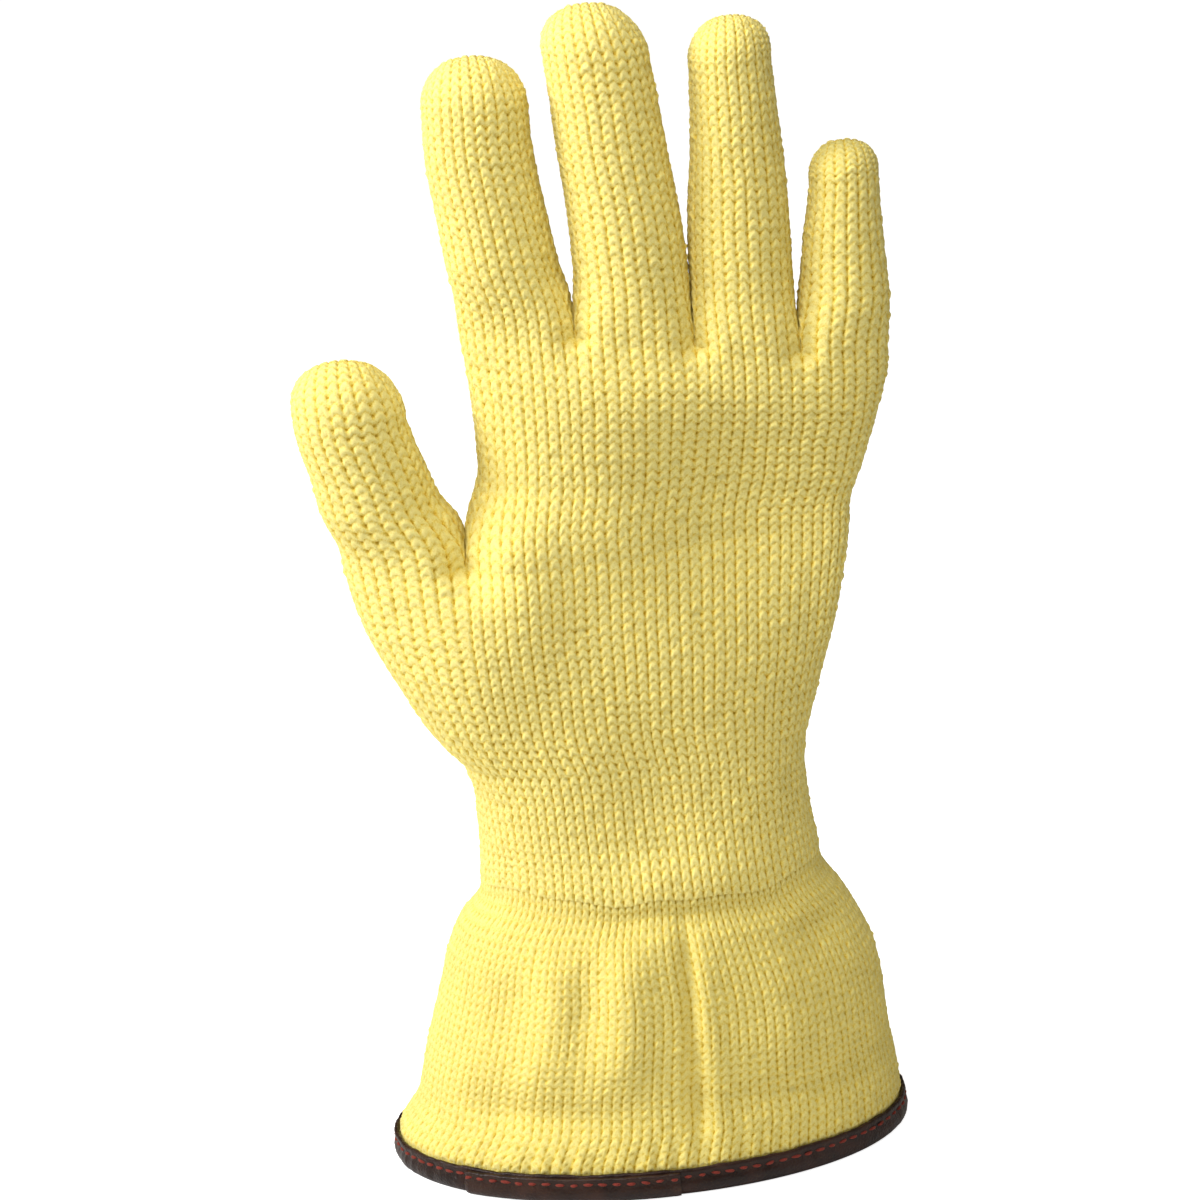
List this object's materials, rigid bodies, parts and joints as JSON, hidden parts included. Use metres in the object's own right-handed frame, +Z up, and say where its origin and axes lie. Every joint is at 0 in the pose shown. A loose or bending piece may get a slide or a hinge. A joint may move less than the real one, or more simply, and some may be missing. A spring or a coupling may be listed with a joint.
{
  "type": "knitted gauntlet glove",
  "caption": "Heavy plain-knit heat-resistant work glove standing on its flared, leather-bound cuff, with hinged fingers, thumb and wrist.",
  "frame": {"origin": "middle of the glove's bounding box, on the flat underside of its bound rim", "axes": "+Z up towards the fingertips, palm facing -Y, thumb on the -X side"},
  "size_m": [0.1552, 0.0984, 0.3065],
  "materials": {
    "knit_hand": "heavy plain-knit heat-resistant yarn, matt, slightly fuzzy",
    "knit_joint": "the same knit where it bends, matt",
    "knit_cuff": "finer plain knit, matt",
    "seam_yarn": "linking yarn, matt",
    "binding_leather": "dark brown grained leather tape, semi-matt",
    "binding_thread": "red-brown sewing thread"
  },
  "bodies": {
    "cuff": {"gauntlet_cuff": "knit_cuff", "binding_tape": "binding_leather", "binding_lapped_end": "binding_leather", "binding_needle_thread": "binding_thread", "binding_bobbin_thread": "binding_thread", "cuff_closing_seam": "seam_yarn", "wrist_linking_seam": "seam_yarn", "wrist_section": "knit_hand"},
    "hand": {"lower_palm": "knit_hand", "upper_palm": "knit_hand", "thumb_base_ring": "knit_joint", "index_knuckle_ring": "knit_joint", "middle_knuckle_ring": "knit_joint", "ring_knuckle_ring": "knit_joint", "little_knuckle_ring": "knit_joint"},
    "thumb_lower": {"thumb_lower_tube": "knit_hand", "thumb_tip_ring": "knit_joint"},
    "thumb_end": {"thumb_tip": "knit_hand"},
    "index_lower": {"index_lower_tube": "knit_hand", "index_middle_joint_ring": "knit_joint"},
    "index_middle": {"index_middle_tube": "knit_hand", "index_tip_joint_ring": "knit_joint"},
    "index_end": {"index_tip": "knit_hand"},
    "middle_lower": {"middle_lower_tube": "knit_hand", "middle_middle_joint_ring": "knit_joint"},
    "middle_middle": {"middle_middle_tube": "knit_hand", "middle_tip_joint_ring": "knit_joint"},
    "middle_end": {"middle_tip": "knit_hand"},
    "ring_lower": {"ring_lower_tube": "knit_hand", "ring_middle_joint_ring": "knit_joint"},
    "ring_middle": {"ring_middle_tube": "knit_hand", "ring_tip_joint_ring": "knit_joint"},
    "ring_end": {"ring_tip": "knit_hand"},
    "little_lower": {"little_lower_tube": "knit_hand", "little_middle_joint_ring": "knit_joint"},
    "little_middle": {"little_middle_tube": "knit_hand", "little_tip_joint_ring": "knit_joint"},
    "little_end": {"little_tip": "knit_hand"}
  },
  "joints": [
    {"name": "wrist_bend", "type": "hinge", "parent": "cuff", "child": "hand", "pos_m": [0.00308, -0.00133, 0.096], "axis": [1, 0, 0], "range_deg": [-20, 30], "stiffness_Nm_per_rad": 1.2, "deforming": ["wrist_section"]},
    {"name": "thumb_base_bend", "type": "hinge", "parent": "hand", "child": "thumb_lower", "pos_m": [-0.05715, -0.00659, 0.1776], "axis": [0.6896, 0.6799, 0.2492], "range_deg": [-8, 32], "stiffness_Nm_per_rad": 0.08, "deforming": ["thumb_base_ring"]},
    {"name": "thumb_tip_bend", "type": "hinge", "parent": "thumb_lower", "child": "thumb_end", "pos_m": [-0.06191, -0.00846, 0.1974], "axis": [0.6907, 0.6809, 0.2436], "range_deg": [0, 38], "stiffness_Nm_per_rad": 0.04, "deforming": ["thumb_tip_ring"]},
    {"name": "index_knuckle_bend", "type": "hinge", "parent": "hand", "child": "index_lower", "pos_m": [-0.02021, -0.00283, 0.2352], "axis": [1, 0, 0], "range_deg": [-8, 50], "stiffness_Nm_per_rad": 0.06, "deforming": ["index_knuckle_ring"]},
    {"name": "index_middle_bend", "type": "hinge", "parent": "index_lower", "child": "index_middle", "pos_m": [-0.0226, -0.00311, 0.2548], "axis": [1, 0, 0], "range_deg": [0, 65], "stiffness_Nm_per_rad": 0.03, "deforming": ["index_middle_joint_ring"]},
    {"name": "index_tip_bend", "type": "hinge", "parent": "index_middle", "child": "index_end", "pos_m": [-0.02434, -0.0036, 0.2744], "axis": [1, 0, 0], "range_deg": [0, 40], "deforming": ["index_tip_joint_ring"]},
    {"name": "middle_knuckle_bend", "type": "hinge", "parent": "hand", "child": "middle_lower", "pos_m": [0.01183, -0.0037, 0.234], "axis": [1, 0, 0], "range_deg": [-8, 50], "stiffness_Nm_per_rad": 0.06, "deforming": ["middle_knuckle_ring"]},
    {"name": "middle_middle_bend", "type": "hinge", "parent": "middle_lower", "child": "middle_middle", "pos_m": [0.01048, -0.00407, 0.259], "axis": [1, 0, 0], "range_deg": [0, 65], "stiffness_Nm_per_rad": 0.03, "deforming": ["middle_middle_joint_ring"]},
    {"name": "middle_tip_bend", "type": "hinge", "parent": "middle_middle", "child": "middle_end", "pos_m": [0.00862, -0.00459, 0.282], "axis": [1, 0, 0], "range_deg": [0, 40], "deforming": ["middle_tip_joint_ring"]},
    {"name": "ring_knuckle_bend", "type": "hinge", "parent": "hand", "child": "ring_lower", "pos_m": [0.03982, -0.00162, 0.228], "axis": [1, 0, 0], "range_deg": [-8, 50], "stiffness_Nm_per_rad": 0.06, "deforming": ["ring_knuckle_ring"]},
    {"name": "ring_middle_bend", "type": "hinge", "parent": "ring_lower", "child": "ring_middle", "pos_m": [0.0407, -0.00159, 0.253], "axis": [1, 0, 0], "range_deg": [0, 65], "stiffness_Nm_per_rad": 0.03, "deforming": ["ring_middle_joint_ring"]},
    {"name": "ring_tip_bend", "type": "hinge", "parent": "ring_middle", "child": "ring_end", "pos_m": [0.04124, -0.00215, 0.276], "axis": [1, 0, 0], "range_deg": [0, 40], "deforming": ["ring_tip_joint_ring"]},
    {"name": "little_knuckle_bend", "type": "hinge", "parent": "hand", "child": "little_lower", "pos_m": [0.06617, -0.00089, 0.2218], "axis": [1, 0, 0], "range_deg": [-8, 45], "stiffness_Nm_per_rad": 0.06, "deforming": ["little_knuckle_ring"]},
    {"name": "little_middle_bend", "type": "hinge", "parent": "little_lower", "child": "little_middle", "pos_m": [0.06677, -0.00094, 0.2366], "axis": [1, 0, 0], "range_deg": [0, 62], "stiffness_Nm_per_rad": 0.03, "deforming": ["little_middle_joint_ring"]},
    {"name": "little_tip_bend", "type": "hinge", "parent": "little_middle", "child": "little_end", "pos_m": [0.06766, -0.0012, 0.2504], "axis": [1, 0, 0], "range_deg": [0, 38], "deforming": ["little_tip_joint_ring"]}
  ],
  "couplings": [
    {"joint": "index_tip_bend", "follows": "index_middle_bend", "ratio": 0.6},
    {"joint": "middle_tip_bend", "follows": "middle_middle_bend", "ratio": 0.6},
    {"joint": "ring_tip_bend", "follows": "ring_middle_bend", "ratio": 0.6},
    {"joint": "little_tip_bend", "follows": "little_middle_bend", "ratio": 0.6}
  ]
}
